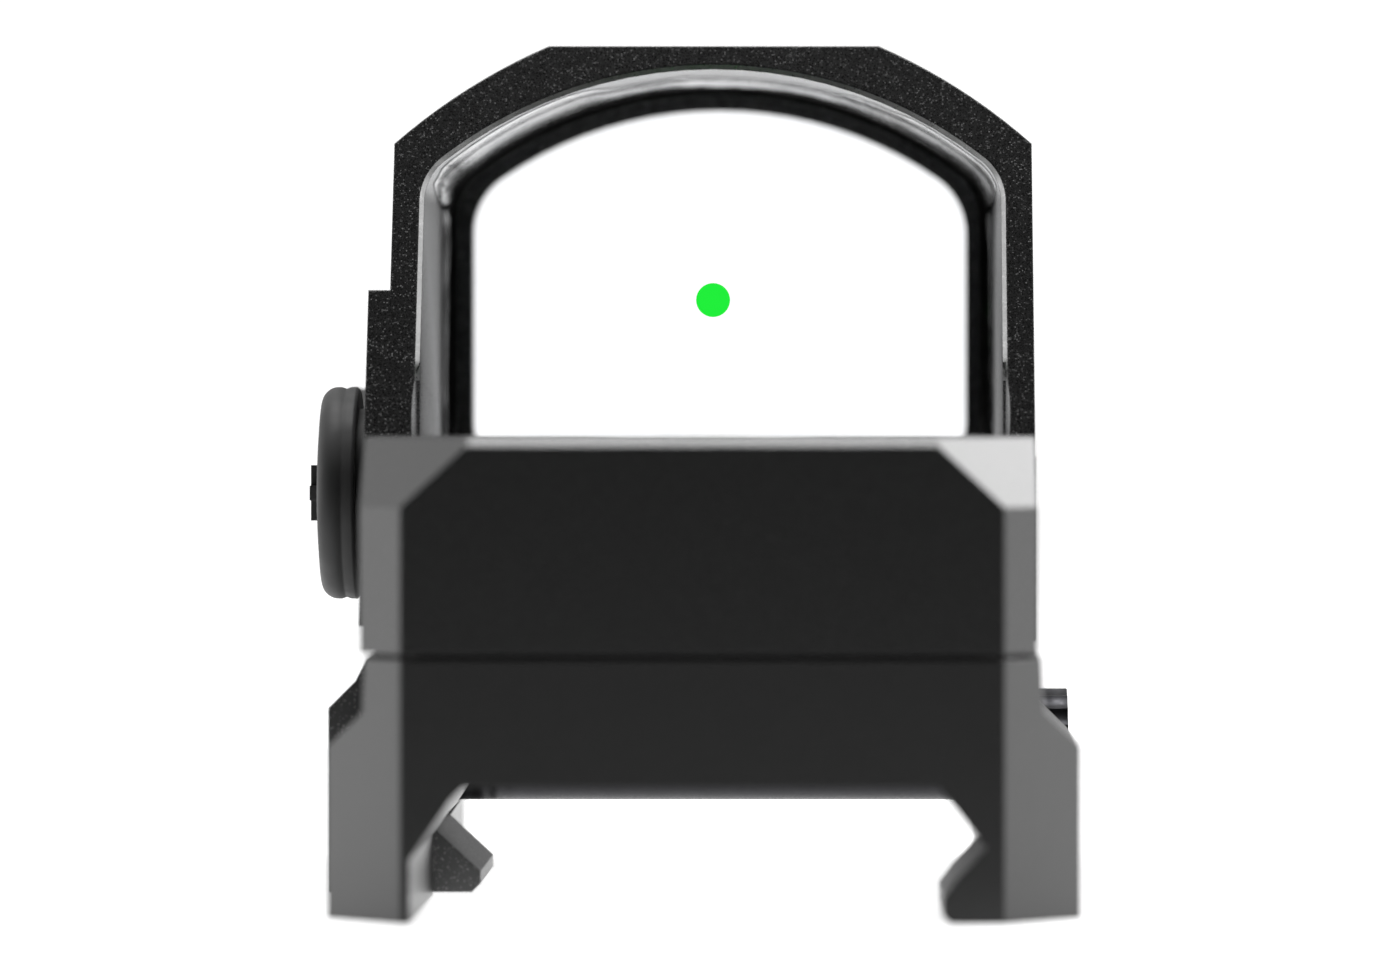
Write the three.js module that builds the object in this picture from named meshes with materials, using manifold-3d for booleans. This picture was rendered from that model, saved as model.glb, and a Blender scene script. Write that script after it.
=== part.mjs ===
// Open micro reflex sight on a clamp for a 21.2 mm accessory rail.
// Units are millimetres. +Z is up, +Y points towards the target, +X is the shooter's right.
// The origin lies on the face that sits on the rail, on the rail's centre line, at mid length.
// Places along the sight are depths from its rear face; the sweep helpers turn them into Y.

import * as THREE from 'three';
import { mergeVertices } from 'three/addons/utils/BufferGeometryUtils.js';
import Module from 'manifold-3d';

const wasm = await Module();
wasm.setup();

// ---------- driving dimensions ----------

const LENGTH = 45;
const REAR = -LENGTH / 2;
const RUNNING_GAP = 0.1;
const CLEAR = 1; // how far a cutting tool runs past the face it opens

const RAIL_HALF_WIDTH = 10.6;
const DECK_THICKNESS = 4.9;
const JAW_DROP = 5.25;
const CLAMP_HALF_WIDTH = 14.65;
const WAIST_HALF_WIDTH = 13.2;
const SHOULDER_LOW = 1.4;
const SHOULDER_HIGH = 2.8;
const LEG_INNER = 11.28;
const HOOK_LENGTH = 11;

const SEAL_THICKNESS = 0.2;
const BODY_BOTTOM = DECK_THICKNESS + SEAL_THICKNESS;
const BODY_HALF_WIDTH = 13.3;
const BODY_TOP = 13.45;
const BLOCK_LENGTH = 15;
const BLOCK_RIGHT_RELIEF = 0.35;
const FLOOR = BODY_TOP - 0.85;

const HOOD_TOP = 29.77;
const HOOD_SHOULDER = 25.6;
const HOOD_FLAT_HALF = 6.93;
const HOOD_SHOULDER_RADIUS = 24;
const HOOD_FOOT_DEPTH = 19.1;
const HOOD_RAKE = 0.5; // run per unit of rise

const WINDOW_HALF_WIDTH = 12;
const WINDOW_TOP = 28.78;
const WINDOW_ARCH_RADIUS = 18;
const WINDOW_CORNER_RADIUS = 2.2;
const LENS_DEPTH = 41.3;
const LENS_SLOT = 1.9;
const LENS_BOTTOM = 11.2;
const RIM_CHAMFER = 0.22;
const LIP_WIDTH = 1.14;
const LIP_BOTTOM = 12.3;

const REAR_FACE_HALF = 11.62;
const REAR_CHAMFER_RUN = 1.22; // depth per unit of width
const FRONT_CHAMFER = 1;
const FACET_TOP_HALF = 9.1;
const FACET_DROP = 2.7;
const EDGE_BEVEL = 0.36;

const PAD_HALF_WIDTH = 14.2;
const PAD_TOP = 19.45;
const PAD_BOTTOM = 5.75;
const PAD_FRONT_DEPTH = 41.2;
const PAD_CORNER = 1.2;

const BUTTON_HEIGHT = 11.04;
const BUTTON_DEPTH = { up: 24.4, down: 35.4 };
const BUTTON_RADIUS = 4.4;
const BUTTON_PROUD = 2;
const BUTTON_DOME = 0.18;
const BUTTON_SIGN = 0.3;
const BUTTON_TRAVEL = 0.4;
const BUTTON_BORE_RADIUS = 3.65;
const BUTTON_BORE_END = 12.6;
const SWITCH_BASE = 0.45;
const DOME_HEIGHT = 0.3;

const SCREW_SIDE = 9.5;
const SCREW_DEPTH = 20;
const SCREW_RADIUS = 1.5;
const SCREW_HEAD_RADIUS = 2.6;
const SCREW_HEAD_HEIGHT = 2;
const SCREW_SEAT = 9.5;
const SCREW_END = 1.2;

const CELL_DEPTH = 28;
const CELL_RADIUS = 10;
const CELL_THICKNESS = 3.2;
const CELL_BOTTOM = BODY_BOTTOM + 0.3;
const CELL_TOP = CELL_BOTTOM + CELL_THICKNESS;
const BOARD_RADIUS = 9.85;
const BOARD_SHOULDER = 10.4;
const BOARD_TOP = BOARD_SHOULDER - 0.02;
const BOARD_BOTTOM = BOARD_TOP - 0.75;
const CHIP_ROOF = 11.4;
const NOTCH_HALF_WIDTH = 1.7;

const ELEVATION_DEPTH = 6;
const WINDAGE_DEPTH = 9.3;
const WINDAGE_HEIGHT = 8.6;
const ADJUSTER_RADIUS = 0.95;
const CAVITY_HALF_WIDTH = 6;
const CAVITY_REAR = 3.5;
const CAVITY_FRONT = 11.6;
const CAVITY_ROOF = 11.9;
const EMITTER_HEIGHT = 10.8;

const BOLT_DEPTH = 25.2;
const BOLT_HEIGHT = 0.25;
const BOLT_RADIUS = 2;
const BOLT_HEAD_RADIUS = 2.65;
const BOLT_HEAD_INNER = 12.35;
const BOLT_HEAD_OUTER = 14.75;

const JAW_START = 17.8;
const JAW_LENGTH = 11.9;
const JAW_OUTER = 15.55;
const JAW_INNER = 11.8;
const JAW_NOSE = 9.35;
const PIN_DEPTH = { rear: 22.9, front: 27.8 };
const PIN_HEIGHT = 3.1;
const PIN_RADIUS = 0.7;
const PIN_SPAN = [-13.8, -7.6];
const SPRING_BORE_RADIUS = 1.5;
const SPRING_BORE_END = 9;

const ROUND = 48; // sides of a large round piece
const SMALL_ROUND = 24;
const CURVE = 10; // steps along an arc of an outline

const rakedDepth = (height) => HOOD_FOOT_DEPTH + HOOD_RAKE * (height - FLOOR);
const bothSides = (make) => [1, -1].flatMap(make);

// ---------- materials ----------

const finish = (color, roughness, metalness) =>
  new THREE.MeshStandardMaterial({ color, roughness, metalness });

const ANODISED = finish(0x1c1c1d, 0.55, 0.6);
const BLACK_STEEL = finish(0x19191a, 0.4, 0.8);
const BRIGHT_STEEL = finish(0xb8babd, 0.3, 1);
const BRASS = finish(0xb08d4f, 0.35, 1);
const RUBBER = finish(0x222222, 0.85, 0);
const GLASS = finish(0xdfe8ee, 0.05, 0);
const ADHESIVE = finish(0x0c0c0c, 0.2, 0);
const BOARD = finish(0x16432c, 0.5, 0);
const CHIP = finish(0x151515, 0.5, 0);
const EMITTER = finish(0x1fe63b, 0.3, 0);
const POLYIMIDE = finish(0x9a5a1c, 0.45, 0);

// ---------- geometry helpers ----------

// Turns a closed geometry into a solid that can be cut and joined.
function solid(geometry) {
  const plain = geometry.clone();
  plain.deleteAttribute('normal');
  plain.deleteAttribute('uv');
  const merged = mergeVertices(plain, 1e-4);
  return new wasm.Manifold(new wasm.Mesh({
    numProp: 3,
    vertProperties: new Float32Array(merged.attributes.position.array),
    triVerts: new Uint32Array(merged.index.array),
  }));
}

function toGeometry(body) {
  const result = body.getMesh();
  const geometry = new THREE.BufferGeometry();
  geometry.setAttribute('position', new THREE.BufferAttribute(result.vertProperties, 3));
  geometry.setIndex(new THREE.BufferAttribute(result.triVerts, 1));
  geometry.computeVertexNormals();
  return geometry;
}

const union = (parts) => parts.reduce((whole, part) => whole.add(part));
const cut = (body, tools) => tools.reduce((left, tool) => left.subtract(tool), body);

const polygon = (points) => new THREE.Shape(points.map(([u, v]) => new THREE.Vector2(u, v)));

const basis = (...axes) =>
  new THREE.Matrix4().makeBasis(...axes.map((axis) => new THREE.Vector3(...axis)));

function sweep(shape, length, matrix) {
  const options = { depth: length, bevelEnabled: false, curveSegments: CURVE };
  return solid(new THREE.ExtrudeGeometry(shape, options).applyMatrix4(matrix));
}

// A shape drawn in (x, z), swept along Y between two depths.
function sweepY(shape, from, to) {
  const turn = basis([1, 0, 0], [0, 0, 1], [0, -1, 0]).setPosition(0, REAR + to, 0);
  return sweep(shape, to - from, turn);
}

// A shape drawn in (depth, z), swept along X.
function sweepX(shape, from, to) {
  const turn = basis([0, 1, 0], [0, 0, 1], [1, 0, 0]).setPosition(from, REAR, 0);
  return sweep(shape, to - from, turn);
}

// A shape drawn in (x, depth), swept along Z.
function sweepZ(shape, from, to) {
  return sweep(shape, to - from, new THREE.Matrix4().makeTranslation(0, REAR, from));
}

function box([x0, x1], [d0, d1], [z0, z1]) {
  const geometry = new THREE.BoxGeometry(x1 - x0, d1 - d0, z1 - z0);
  return solid(geometry.translate((x0 + x1) / 2, REAR + (d0 + d1) / 2, (z0 + z1) / 2));
}

function rodZ(radius, x, depth, [z0, z1], sides = SMALL_ROUND) {
  const geometry = new THREE.CylinderGeometry(radius, radius, z1 - z0, sides);
  geometry.rotateX(Math.PI / 2);
  return solid(geometry.translate(x, REAR + depth, (z0 + z1) / 2));
}

function rodX(radius, depth, z, [x0, x1], sides = SMALL_ROUND) {
  const geometry = new THREE.CylinderGeometry(radius, radius, x1 - x0, sides);
  geometry.rotateZ(Math.PI / 2);
  return solid(geometry.translate((x0 + x1) / 2, REAR + depth, z));
}

// A turned piece from (radius, height) pairs that start and end on the axis, lowest first.
function turned(profile, sides = SMALL_ROUND) {
  const points = profile.map(([radius, height]) => new THREE.Vector2(radius, height));
  return new THREE.LatheGeometry(points, sides).rotateX(Math.PI / 2);
}

// Lays a piece made along +Z so that it points along -X (left) or +X (right).
const pointLeft = (geometry) => geometry.rotateY(-Math.PI / 2);
const pointRight = (geometry) => geometry.applyMatrix4(basis([0, 1, 0], [0, 0, 1], [1, 0, 0]));

// A round wire wound along +Z, starting at the origin.
function coil(radius, wire, length, turns) {
  const steps = turns * 10;
  const points = Array.from({ length: steps + 1 }, (_, i) => {
    const angle = (i / steps) * turns * 2 * Math.PI;
    return new THREE.Vector3(radius * Math.cos(angle), radius * Math.sin(angle), (length * i) / steps);
  });
  const section = new THREE.Shape();
  section.absarc(0, 0, wire / 2, 0, 2 * Math.PI);
  const extrudePath = new THREE.CatmullRomCurve3(points);
  return new THREE.ExtrudeGeometry(section, { steps, extrudePath, curveSegments: 3 });
}

// A disc outline in (u, v) whose rim alternates between two radii.
function serrated(radius, notch, count, u = 0, v = 0) {
  return polygon(Array.from({ length: count * 2 }, (_, i) => {
    const angle = (i * Math.PI) / count;
    const reach = i % 2 ? radius : radius - notch;
    return [u + reach * Math.cos(angle), v + reach * Math.sin(angle)];
  }));
}

const sight = new THREE.Group();

function place(name, shape, material) {
  const geometry = shape.isBufferGeometry ? shape : toGeometry(shape);
  const mesh = new THREE.Mesh(geometry, material);
  mesh.name = name;
  sight.add(mesh);
}

// ---------- outlines ----------

// The hood from behind, in (x, z): flat top, large convex shoulders, upright sides.
function hoodOutline() {
  const across = BODY_HALF_WIDTH - HOOD_FLAT_HALF;
  const drop = HOOD_TOP - HOOD_SHOULDER;
  const chord = Math.hypot(across, drop);
  const bulge = chord ** 2 / (4 * HOOD_SHOULDER_RADIUS);
  const midX = HOOD_FLAT_HALF + across / 2 + (bulge * drop) / chord;
  const midZ = HOOD_SHOULDER + drop / 2 + (bulge * across) / chord;
  const shape = new THREE.Shape();
  shape.moveTo(-BODY_HALF_WIDTH, BODY_BOTTOM);
  shape.lineTo(BODY_HALF_WIDTH, BODY_BOTTOM);
  shape.lineTo(BODY_HALF_WIDTH, HOOD_SHOULDER);
  shape.quadraticCurveTo(midX, midZ, HOOD_FLAT_HALF, HOOD_TOP);
  shape.lineTo(-HOOD_FLAT_HALF, HOOD_TOP);
  shape.quadraticCurveTo(-midX, midZ, -BODY_HALF_WIDTH, HOOD_SHOULDER);
  return shape;
}

// The window from behind, in (x, z): arched top, rounded corners. An inset narrows it all round.
function windowOutline(inset, bottom, footRadius = 0, cornerRadius = WINDOW_CORNER_RADIUS) {
  const half = WINDOW_HALF_WIDTH - inset;
  const arch = WINDOW_ARCH_RADIUS - inset;
  const archCentre = WINDOW_TOP - WINDOW_ARCH_RADIUS;
  const side = half - cornerRadius;
  const rise = Math.sqrt((arch - cornerRadius) ** 2 - side ** 2);
  const meet = Math.atan2(rise, side);
  const shape = new THREE.Shape();
  shape.moveTo(-half, bottom + footRadius);
  shape.quadraticCurveTo(-half, bottom, -half + footRadius, bottom);
  shape.lineTo(half - footRadius, bottom);
  shape.quadraticCurveTo(half, bottom, half, bottom + footRadius);
  shape.absarc(side, archCentre + rise, cornerRadius, 0, meet);
  shape.absarc(0, archCentre, arch, meet, Math.PI - meet);
  shape.absarc(-side, archCentre + rise, cornerRadius, Math.PI - meet, Math.PI);
  return shape;
}

// Upright chamfers: two large ones narrow the rear face, two small ones the front.
function endChamfers() {
  const reach = 6;
  const corner = BODY_HALF_WIDTH - FRONT_CHAMFER;
  return bothSides((side) => [
    polygon([
      [side * REAR_FACE_HALF, 0],
      [side * (REAR_FACE_HALF + reach), reach * REAR_CHAMFER_RUN],
      [side * (REAR_FACE_HALF + reach), -CLEAR],
      [side * (REAR_FACE_HALF - CLEAR / REAR_CHAMFER_RUN), -CLEAR],
    ]),
    polygon([
      [side * corner, LENGTH],
      [side * (corner - CLEAR), LENGTH + CLEAR],
      [side * (corner + reach), LENGTH + CLEAR],
      [side * (corner + reach), LENGTH - reach],
    ]),
  ]).map((shape) => sweepZ(shape, -JAW_DROP - CLEAR, HOOD_TOP + CLEAR));
}

// Facets on the two upper rear corners: each plane runs through three points of a corner.
function cornerFacets() {
  const size = 13;
  const reach = BODY_HALF_WIDTH - REAR_FACE_HALF;
  const low = BODY_TOP - FACET_DROP;
  return bothSides((side) => {
    const top = new THREE.Vector3(side * FACET_TOP_HALF, REAR, BODY_TOP - EDGE_BEVEL);
    const edge = new THREE.Vector3(side * REAR_FACE_HALF, REAR, low);
    const flank = new THREE.Vector3(side * BODY_HALF_WIDTH, REAR + reach * REAR_CHAMFER_RUN, low);
    const normal = edge.clone().sub(top).cross(flank.clone().sub(edge)).normalize().multiplyScalar(side);
    const centre = top.add(edge).add(flank).divideScalar(3);
    const tool = new THREE.BoxGeometry(size, size, size / 2).translate(0, 0, size / 4);
    tool.applyQuaternion(new THREE.Quaternion().setFromUnitVectors(new THREE.Vector3(0, 0, 1), normal));
    return solid(tool.translate(centre.x, centre.y, centre.z));
  });
}

// ---------- housing ----------

// Everything above the deck and behind the hood's raked rear face.
function deckCut() {
  const above = HOOD_TOP + CLEAR;
  const side = BODY_HALF_WIDTH + CLEAR;
  return sweepX(polygon([
    [-CLEAR, BODY_TOP - EDGE_BEVEL - CLEAR],
    [EDGE_BEVEL, BODY_TOP],
    [BLOCK_LENGTH, BODY_TOP],
    [BLOCK_LENGTH + BODY_TOP - FLOOR, FLOOR],
    [HOOD_FOOT_DEPTH, FLOOR],
    [rakedDepth(above), above],
    [-CLEAR, above],
  ]), -side, side);
}

function rightRelief() {
  const edge = BODY_HALF_WIDTH - BLOCK_RIGHT_RELIEF;
  return box([edge, edge + CLEAR], [-CLEAR, BLOCK_LENGTH + 2], [BODY_BOTTOM - CLEAR, BODY_TOP + CLEAR]);
}

// Raised pad on the left side that carries the buttons; its rear edge follows the hood's rake.
function buttonPad() {
  const shape = new THREE.Shape();
  const front = PAD_FRONT_DEPTH - PAD_CORNER;
  shape.moveTo(rakedDepth(PAD_BOTTOM), PAD_BOTTOM);
  shape.lineTo(front, PAD_BOTTOM);
  shape.absarc(front, PAD_BOTTOM + PAD_CORNER, PAD_CORNER, -Math.PI / 2, 0);
  shape.absarc(front, PAD_TOP - PAD_CORNER, PAD_CORNER, 0, Math.PI / 2);
  shape.lineTo(rakedDepth(PAD_TOP), PAD_TOP);
  return sweepX(shape, -PAD_HALF_WIDTH, -BODY_HALF_WIDTH + 0.5);
}

// Flared, sloping trough through which the emitter shines at the lens.
function lightTrough() {
  const start = CAVITY_FRONT + 0.9;
  const mouth = 17.4;
  const above = BODY_TOP + CLEAR;
  const slope = polygon([[start, 9.9], [mouth, FLOOR], [mouth, above], [start, above]]);
  const flare = polygon([[-3.3, start - CLEAR], [3.3, start - CLEAR], [5.4, mouth], [-5.4, mouth]]);
  return sweepX(slope, -CAVITY_HALF_WIDTH, CAVITY_HALF_WIDTH).intersect(sweepZ(flare, BODY_BOTTOM, above));
}

function emitterPockets() {
  const above = BODY_TOP + CLEAR;
  const wide = [-CAVITY_HALF_WIDTH, CAVITY_HALF_WIDTH];
  return [
    box(wide, [CAVITY_REAR, CAVITY_FRONT], [BODY_BOTTOM - CLEAR, CAVITY_ROOF]),
    box([-2.6, 2.6], [CAVITY_FRONT - 0.5, CAVITY_FRONT + 0.5], [EMITTER_HEIGHT - 0.9, EMITTER_HEIGHT + 0.9]),
    box([-3.45, 3.45], [CAVITY_FRONT + 0.3, CAVITY_FRONT + 1], [9.4, above]),
    rodZ(2.1, 0, ELEVATION_DEPTH, [12.75, above], ROUND),
    rodZ(ADJUSTER_RADIUS + 0.2, 0, ELEVATION_DEPTH, [CAVITY_ROOF - CLEAR, above]),
    rodX(2.2, WINDAGE_DEPTH, WINDAGE_HEIGHT, [5, BODY_HALF_WIDTH + CLEAR], ROUND),
  ];
}

function batteryPockets() {
  const below = BODY_BOTTOM - CLEAR;
  const notch = [-NOTCH_HALF_WIDTH, NOTCH_HALF_WIDTH];
  return [
    rodZ(CELL_RADIUS + 0.3, 0, CELL_DEPTH, [below, BOARD_SHOULDER], ROUND),
    rodZ(9.2, 0, CELL_DEPTH, [below, CHIP_ROOF], ROUND),
    box(notch, [16.6, 19], [below, BOARD_SHOULDER]),
    box(notch, [CAVITY_FRONT - CLEAR, 17.5], [below, 6.2]),
    box(notch, [37, 39.4], [below, BOARD_SHOULDER]),
  ];
}

function screwBores() {
  const shank = [BODY_BOTTOM - CLEAR, SCREW_SEAT + CLEAR];
  return bothSides((side) => [
    rodZ(SCREW_HEAD_RADIUS + 0.18, side * SCREW_SIDE, SCREW_DEPTH, [SCREW_SEAT, PAD_TOP], ROUND),
    rodZ(SCREW_RADIUS + RUNNING_GAP, side * SCREW_SIDE, SCREW_DEPTH, shank),
  ]);
}

// Each button's bore, and the wire hole from its floor to the board's recess.
function buttonBores() {
  const wireEnd = 4.5;
  return Object.values(BUTTON_DEPTH).flatMap((depth) => [
    rodX(BUTTON_BORE_RADIUS, depth, BUTTON_HEIGHT, [-PAD_HALF_WIDTH - CLEAR, -BUTTON_BORE_END], ROUND),
    rodX(0.6, depth, BUTTON_HEIGHT - 0.2, [-BUTTON_BORE_END - 0.2, -wireEnd]),
  ]);
}

// Chamfer round the window's rear rim: a flared plug, sheared so that it follows the hood's rake.
function rimChamfer() {
  const plug = new THREE.ExtrudeGeometry(windowOutline(0, FLOOR + RIM_CHAMFER), {
    depth: CLEAR,
    bevelThickness: RIM_CHAMFER,
    bevelSize: RIM_CHAMFER,
    bevelSegments: 1,
    curveSegments: CURVE,
  });
  const upright = basis([1, 0, 0], [0, 0, 1], [0, -1, 0]);
  const rake = new THREE.Matrix4().makeShear(0, 0, 0, 0, 0, HOOD_RAKE);
  const foot = new THREE.Matrix4().makeTranslation(0, REAR + rakedDepth(0), 0);
  return solid(plug.applyMatrix4(upright).applyMatrix4(rake).applyMatrix4(foot));
}

// The tunnel behind the lens, the slot the lens stands in, and the opening inside the front lip.
function windowCuts() {
  const slotEnd = LENS_DEPTH + LENS_SLOT;
  return [
    sweepY(windowOutline(0, FLOOR), HOOD_FOOT_DEPTH - CLEAR, slotEnd),
    sweepY(windowOutline(0, LENS_BOTTOM - RUNNING_GAP), LENS_DEPTH, slotEnd),
    sweepY(windowOutline(LIP_WIDTH, LIP_BOTTOM, 1.6, 3), LENS_DEPTH, LENGTH + CLEAR),
  ];
}

function housing() {
  const blank = sweepY(hoodOutline(), 0, LENGTH).add(buttonPad());
  return cut(blank, [
    deckCut(),
    ...windowCuts(),
    rimChamfer(),
    rightRelief(),
    lightTrough(),
    ...endChamfers(),
    ...cornerFacets(),
    ...emitterPockets(),
    ...batteryPockets(),
    ...screwBores(),
    ...buttonBores(),
  ]);
}

// ---------- optics ----------

function lens() {
  const outline = windowOutline(0.15, LENS_BOTTOM);
  return sweepY(outline, LENS_DEPTH + 0.05, LENS_DEPTH + LENS_SLOT - RUNNING_GAP);
}

// A bead in the corner between the hood's inner wall and the lens's rear face.
function adhesiveBead() {
  const from = LENS_DEPTH - 1.3;
  const outer = sweepY(windowOutline(0.03, FLOOR + 0.03), from, LENS_DEPTH);
  return outer.subtract(sweepY(windowOutline(0.62, FLOOR + 0.5), from - CLEAR, LENS_DEPTH + CLEAR));
}

function emitterWindow() {
  return box([-3.35, 3.35], [CAVITY_FRONT + 0.35, CAVITY_FRONT + 0.9], [9.45, 12.2]);
}

// ---------- emitter carriage ----------

// Adjuster along +Z with its head's underside at z = 0: serrated rim and a straight slot.
function adjuster(headRadius, shankLength) {
  const headHeight = 0.64;
  const rim = serrated(headRadius, 0.12, 20);
  const head = new THREE.ExtrudeGeometry(rim, { depth: headHeight, bevelEnabled: false });
  const slot = new THREE.BoxGeometry(headRadius * 3, 0.5, headHeight).translate(0, 0, headHeight);
  const shank = new THREE.CylinderGeometry(ADJUSTER_RADIUS, ADJUSTER_RADIUS, shankLength + 0.2, SMALL_ROUND);
  shank.rotateX(Math.PI / 2).translate(0, 0, 0.1 - shankLength / 2);
  return toGeometry(solid(head).subtract(solid(slot)).add(solid(shank)));
}

function adjusters() {
  const elevation = adjuster(1.9, 5.8).translate(0, REAR + ELEVATION_DEPTH, 12.83);
  place('elevation_screw', elevation, BLACK_STEEL);
  const windage = pointRight(adjuster(1.65, 13.7)).translate(11.95, REAR + WINDAGE_DEPTH, WINDAGE_HEIGHT);
  place('windage_screw', windage, BLACK_STEEL);
}

function elevationSeal() {
  const hole = rodZ(1.2, 0, ELEVATION_DEPTH, [12, 14]);
  return rodZ(1.8, 0, ELEVATION_DEPTH, [12.76, 12.82]).subtract(hole);
}

// Vertical slide: a block on the elevation screw with one ear that holds the windage screw.
function elevationSlide() {
  const height = [6.3, 10.4];
  const bore = ADJUSTER_RADIUS + RUNNING_GAP;
  const block = box([-5.6, 5.6], [3.9, 7.8], height);
  const ear = box([4.5, 5.6], [7.7, 11.1], height);
  return cut(block.add(ear), [
    rodZ(bore, 0, ELEVATION_DEPTH, [5, 12]),
    rodX(bore, WINDAGE_DEPTH, WINDAGE_HEIGHT, [4, 7]),
  ]);
}

// Lateral sled: a nut on the windage screw with a post that carries the emitter.
function windageSled() {
  const nut = box([-2.9, 2.9], [7.95, 10.7], [6.9, 10.2]);
  const post = box([-1.9, 1.9], [9.7, 10.7], [10.1, 11.6]);
  const bore = rodX(ADJUSTER_RADIUS + RUNNING_GAP, WINDAGE_DEPTH, WINDAGE_HEIGHT, [-4, 4]);
  return nut.add(post).subtract(bore);
}

function emitter() {
  place('led_board', box([-1.7, 1.7], [10.75, 11.05], [9.3, 11.6]), BOARD);
  const height = [EMITTER_HEIGHT - 0.4, EMITTER_HEIGHT + 0.4];
  place('led_chip', box([-0.5, 0.5], [11.05, 11.35], height), EMITTER);
}

function carriageSprings() {
  const side = pointLeft(coil(0.75, 0.26, 2.1, 5));
  place('windage_spring', side.translate(-3.5, REAR + WINDAGE_DEPTH, WINDAGE_HEIGHT), BRIGHT_STEEL);
  const lift = coil(0.9, 0.26, 0.9, 3);
  place('elevation_spring', lift.translate(3.6, REAR + ELEVATION_DEPTH, 10.8), BRIGHT_STEEL);
}

// ---------- buttons and switches ----------

// Rubber button along +Z, heights counted from the sight's centre plane: a neck that slides
// in its bore, a flange, a shallow groove, and a domed cap with a rounded rim.
function buttonBody() {
  const tip = BUTTON_BORE_END + SWITCH_BASE + DOME_HEIGHT + BUTTON_TRAVEL + 0.05;
  const flange = PAD_HALF_WIDTH + BUTTON_TRAVEL + 0.05;
  const groove = flange + 0.35;
  const top = PAD_HALF_WIDTH + BUTTON_PROUD;
  const neck = BUTTON_BORE_RADIUS - 0.15;
  const rim = 0.65;
  const profile = new THREE.Path();
  profile.moveTo(0, tip);
  profile.lineTo(neck, tip);
  profile.lineTo(neck, flange);
  profile.lineTo(BUTTON_RADIUS - 0.1, flange);
  profile.lineTo(BUTTON_RADIUS, flange + 0.1);
  profile.lineTo(BUTTON_RADIUS, groove);
  profile.lineTo(BUTTON_RADIUS - 0.07, groove + 0.2);
  profile.lineTo(BUTTON_RADIUS, groove + 0.4);
  profile.absarc(BUTTON_RADIUS - rim, top - rim, rim, 0, 0.42 * Math.PI);
  profile.quadraticCurveTo(2, top + BUTTON_DOME, 0, top + BUTTON_DOME);
  return turned(profile.getPoints(4).map(({ x, y }) => [x, y]), ROUND);
}

// A button with its raised sign, made of bars given by length and height.
function button(depth, bars) {
  const body = pointLeft(buttonBody()).translate(0, REAR + depth, BUTTON_HEIGHT);
  const face = -PAD_HALF_WIDTH - BUTTON_PROUD - BUTTON_DOME;
  const sign = bars.map(([long, tall]) => box(
    [face - BUTTON_SIGN, face + 0.3],
    [depth - long / 2, depth + long / 2],
    [BUTTON_HEIGHT - tall / 2, BUTTON_HEIGHT + tall / 2],
  ));
  return union([solid(body), ...sign]);
}

function buttons() {
  const bar = [2.3, 0.6];
  const upright = [0.6, 2.3];
  place('button_up', button(BUTTON_DEPTH.up, [bar, upright]), RUBBER);
  place('button_down', button(BUTTON_DEPTH.down, [bar]), RUBBER);
}

function switches() {
  const baseTop = -BUTTON_BORE_END - SWITCH_BASE;
  for (const [name, depth] of Object.entries(BUTTON_DEPTH)) {
    const base = rodX(3.5, depth, BUTTON_HEIGHT, [baseTop, -BUTTON_BORE_END]);
    place(`switch_base_${name}`, base, BOARD);
    const dome = pointLeft(turned([[0, 0], [2.6, 0], [1.7, 0.22], [0, DOME_HEIGHT]]));
    place(`switch_dome_${name}`, dome.translate(baseTop, REAR + depth, BUTTON_HEIGHT), BRIGHT_STEEL);
  }
}

// ---------- battery and electronics ----------

function battery() {
  const edge = 0.35;
  const can = turned([
    [0, 0],
    [CELL_RADIUS - edge, 0],
    [CELL_RADIUS, edge],
    [CELL_RADIUS, CELL_THICKNESS - 2 * edge],
    [CELL_RADIUS - edge, CELL_THICKNESS - edge],
    [CELL_RADIUS - 4 * edge, CELL_THICKNESS],
    [0, CELL_THICKNESS],
  ], ROUND);
  return can.translate(0, REAR + CELL_DEPTH, CELL_BOTTOM);
}

function electronics() {
  const board = rodZ(BOARD_RADIUS, 0, CELL_DEPTH, [BOARD_BOTTOM, BOARD_TOP], ROUND);
  place('main_board', board, BOARD);
  place('control_chip', box([-2.5, 2.5], [26, 31], [BOARD_TOP, BOARD_TOP + 0.75]), CHIP);
  place('motion_sensor', box([4, 6.2], [24, 26.4], [BOARD_TOP, BOARD_TOP + 0.6]), CHIP);
}

// Spring leaf that hangs from the board and presses on the cell.
function batteryContactTop() {
  const thick = 0.2;
  const high = BOARD_BOTTOM - 0.03;
  const low = CELL_TOP + 0.02;
  const [root, bend, foot, toe] = [25, 27.4, 29.4, 31.2];
  return sweepX(polygon([
    [root, high], [root, high - thick], [bend, high - thick], [foot, low],
    [toe, low], [toe, low + thick], [foot + 0.1, low + thick], [bend + 0.1, high],
  ]), -1.5, 1.5);
}

// Upright strip in the front notch, bowed against the rim of the cell.
function batteryContactSide() {
  const rim = CELL_DEPTH + CELL_RADIUS + 0.03;
  const wall = rim + 0.9;
  const [bottom, middle, top] = [CELL_BOTTOM + 0.1, CELL_BOTTOM + 2, CELL_BOTTOM + 4.1];
  return sweepX(polygon([
    [wall, bottom], [wall + 0.2, bottom], [rim + 0.25, middle],
    [wall + 0.2, top], [wall, top], [rim, middle],
  ]), -1.4, 1.4);
}

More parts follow.
